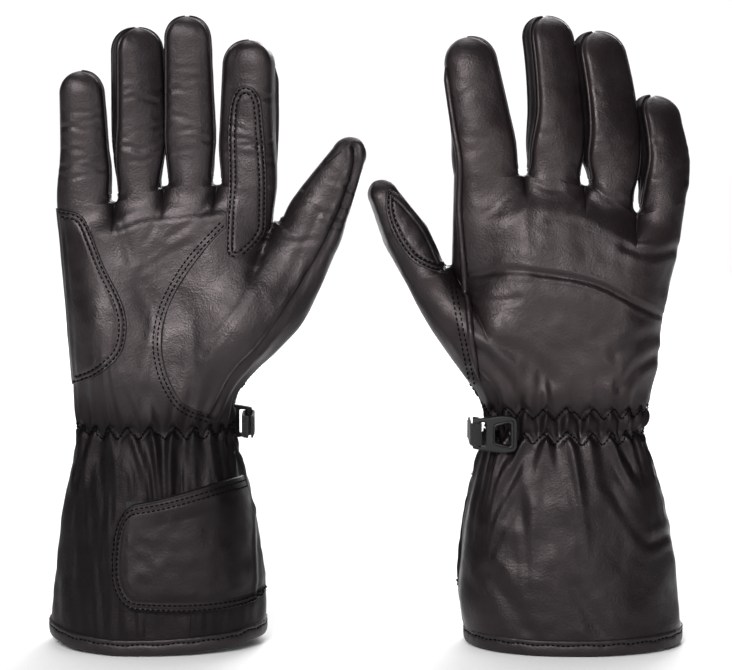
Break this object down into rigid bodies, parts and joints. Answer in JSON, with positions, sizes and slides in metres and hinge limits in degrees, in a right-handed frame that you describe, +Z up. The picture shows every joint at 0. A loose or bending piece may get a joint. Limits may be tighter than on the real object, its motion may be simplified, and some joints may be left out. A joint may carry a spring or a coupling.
{
  "type": "leather gauntlet gloves",
  "caption": "Black leather gauntlet gloves with padded fingers, sewn palm patches, gathered elastic wrists, wide cuffs with closure flaps, and a plastic clip.",
  "frame": {"origin": "centre of the pair's footprint, on the surface that the hems stand on", "axes": "+Z up along the fingers, +X from the glove shown palm first to the glove shown back first, -Y toward the viewer"},
  "size_m": [0.3418, 0.0848, 0.3356],
  "materials": {
    "palm_leather": "satin black drum-dyed leather",
    "back_leather": "satin black padded leather",
    "patch_leather": "satin black leather, double stitched",
    "fourchette_leather": "satin black leather",
    "binding_leather": "black leather binding",
    "hook_and_loop": "black woven tape",
    "elastic_tape": "black elastic tape",
    "webbing": "black woven webbing",
    "clip_plastic": "matte black moulded plastic",
    "lining_fabric": "brushed black knitted lining"
  },
  "bodies": {
    "a_hand": {"a_palm_panel": "palm_leather", "a_back_panel": "back_leather", "a_heel_patch": "patch_leather", "a_thenar_patch": "patch_leather", "a_side_piping": "binding_leather", "a_cuff_front": "palm_leather", "a_cuff_back": "back_leather", "a_wrist_elastic": "elastic_tape", "a_hem_binding": "binding_leather", "a_loop_pad": "hook_and_loop", "a_clip_loop": "webbing", "a_lining": "lining_fabric"},
    "a_little": {"a_little_front": "palm_leather", "a_little_back": "back_leather", "a_little_fourchettes": "fourchette_leather"},
    "a_ring": {"a_ring_front": "palm_leather", "a_ring_back": "back_leather", "a_ring_fourchettes": "fourchette_leather"},
    "a_middle": {"a_middle_front": "palm_leather", "a_middle_back": "back_leather", "a_middle_fourchettes": "fourchette_leather"},
    "a_index": {"a_index_front": "palm_leather", "a_index_back": "back_leather", "a_index_fourchettes": "fourchette_leather", "a_index_patch": "patch_leather"},
    "a_thumb": {"a_thumb_shell": "palm_leather", "a_thumb_patch": "patch_leather"},
    "a_flap": {"a_closure_flap": "patch_leather", "a_hook_pad": "hook_and_loop"},
    "a_clip": {"a_clip_body": "clip_plastic"},
    "b_hand": {"b_palm_panel": "palm_leather", "b_back_panel": "back_leather", "b_heel_patch": "patch_leather", "b_thenar_patch": "patch_leather", "b_side_piping": "binding_leather", "b_cuff_front": "palm_leather", "b_cuff_back": "back_leather", "b_wrist_elastic": "elastic_tape", "b_hem_binding": "binding_leather", "b_loop_pad": "hook_and_loop", "b_clip_loop": "webbing", "b_lining": "lining_fabric"},
    "b_little": {"b_little_front": "palm_leather", "b_little_back": "back_leather", "b_little_fourchettes": "fourchette_leather"},
    "b_ring": {"b_ring_front": "palm_leather", "b_ring_back": "back_leather", "b_ring_fourchettes": "fourchette_leather"},
    "b_middle": {"b_middle_front": "palm_leather", "b_middle_back": "back_leather", "b_middle_fourchettes": "fourchette_leather"},
    "b_index": {"b_index_front": "palm_leather", "b_index_back": "back_leather", "b_index_fourchettes": "fourchette_leather", "b_index_patch": "patch_leather"},
    "b_thumb": {"b_thumb_shell": "palm_leather", "b_thumb_patch": "patch_leather"},
    "b_flap": {"b_closure_flap": "patch_leather", "b_hook_pad": "hook_and_loop"},
    "b_clip": {"b_clip_body": "clip_plastic"}
  },
  "joints": [
    {"name": "a_little_bend", "type": "hinge", "parent": "a_hand", "child": "a_little", "pos_m": [-0.148, -0.005, 0.232], "axis": [0.9996, 0, 0.0267], "range_deg": [-8, 60]},
    {"name": "a_ring_bend", "type": "hinge", "parent": "a_hand", "child": "a_ring", "pos_m": [-0.119, -0.005, 0.238], "axis": [1, 0, 0], "range_deg": [-8, 60]},
    {"name": "a_middle_bend", "type": "hinge", "parent": "a_hand", "child": "a_middle", "pos_m": [-0.092, -0.005, 0.241], "axis": [0.9999, 0, 0.0105], "range_deg": [-8, 60]},
    {"name": "a_index_bend", "type": "hinge", "parent": "a_hand", "child": "a_index", "pos_m": [-0.062, -0.005, 0.239], "axis": [0.9997, 0, -0.0238], "range_deg": [-8, 60]},
    {"name": "a_thumb_bend", "type": "hinge", "parent": "a_hand", "child": "a_thumb", "pos_m": [-0.032, -0.005, 0.219], "axis": [0.911, 0, -0.4125], "range_deg": [-5, 40]},
    {"name": "a_flap_open", "type": "hinge", "parent": "a_hand", "child": "a_flap", "pos_m": [-0.05389, -0.00273, 0.059], "axis": [-0.147, 0.0082, 0.9891], "range_deg": [0, 110]},
    {"name": "a_clip_swing", "type": "hinge", "parent": "a_hand", "child": "a_clip", "pos_m": [-0.063, 0.024, 0.117], "axis": [0, 0, -1], "range_deg": [0, 120]},
    {"name": "b_little_bend", "type": "hinge", "parent": "b_hand", "child": "b_little", "pos_m": [0.158, 0.005, 0.227], "axis": [-0.9996, 0, -0.0294], "range_deg": [-8, 60]},
    {"name": "b_ring_bend", "type": "hinge", "parent": "b_hand", "child": "b_ring", "pos_m": [0.13, 0.005, 0.236], "axis": [-0.9985, 0, -0.0549], "range_deg": [-8, 60]},
    {"name": "b_middle_bend", "type": "hinge", "parent": "b_hand", "child": "b_middle", "pos_m": [0.099, 0.005, 0.243], "axis": [-0.9998, 0, -0.0215], "range_deg": [-8, 60]},
    {"name": "b_index_bend", "type": "hinge", "parent": "b_hand", "child": "b_index", "pos_m": [0.066, 0.005, 0.245], "axis": [-0.9907, 0, -0.1362], "range_deg": [-8, 60]},
    {"name": "b_thumb_bend", "type": "hinge", "parent": "b_hand", "child": "b_thumb", "pos_m": [0.035, 0.005, 0.199], "axis": [-0.8944, 0, -0.4472], "range_deg": [-5, 40]},
    {"name": "b_flap_open", "type": "hinge", "parent": "b_hand", "child": "b_flap", "pos_m": [0.05259, 0.00273, 0.059], "axis": [0.114, -0.0082, 0.9934], "range_deg": [0, 110]},
    {"name": "b_clip_swing", "type": "hinge", "parent": "b_hand", "child": "b_clip", "pos_m": [0.059, -0.024, 0.117], "axis": [0, 0, -1], "range_deg": [0, 120]},
    {"name": "b_hand_lift", "type": "slide", "parent": "a_hand", "child": "b_hand", "axis": [0, 0, 1], "range_m": [0, 0.4]}
  ]
}
